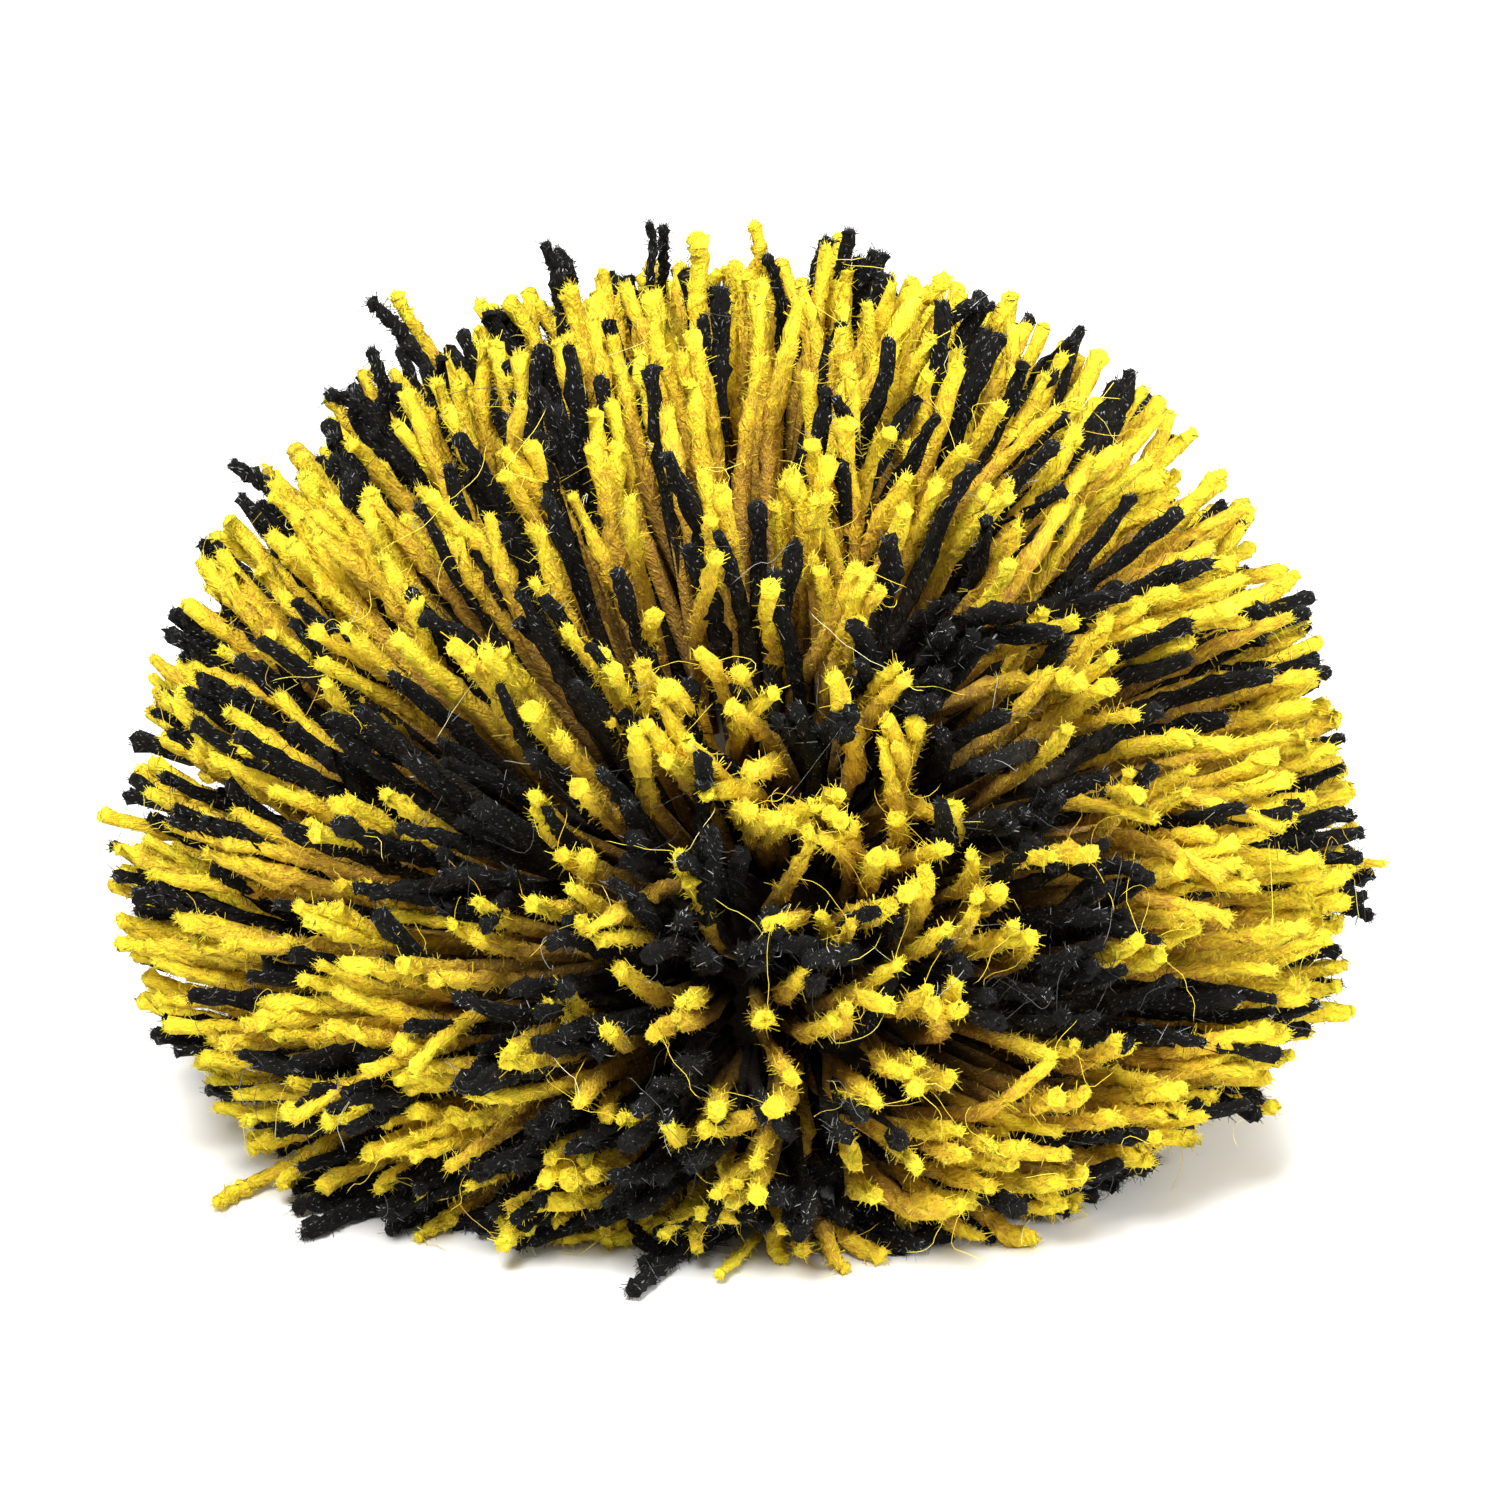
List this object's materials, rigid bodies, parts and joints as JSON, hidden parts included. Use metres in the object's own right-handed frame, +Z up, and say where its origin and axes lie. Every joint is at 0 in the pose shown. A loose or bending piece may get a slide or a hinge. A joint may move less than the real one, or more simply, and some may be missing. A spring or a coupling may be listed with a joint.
{
  "type": "yarn pom pom",
  "caption": "Dense round pom pom of cut yellow and black yarns, fanned out from a tie in the middle and resting on its flattened underside.",
  "frame": {"origin": "on the table, below the middle of the pom pom's box", "axes": "+Z up, the pom pom's shortest way; -Y towards the viewer and +X to the viewer's right"},
  "size_m": [0.1106, 0.1094, 0.0771],
  "materials": {
    "yellow_yarn": "fuzzy matte yarn",
    "black_yarn": "fuzzy matte yarn"
  },
  "bodies": {
    "root": {"yarn_pompom": "yellow_yarn"}
  },
  "joints": []
}
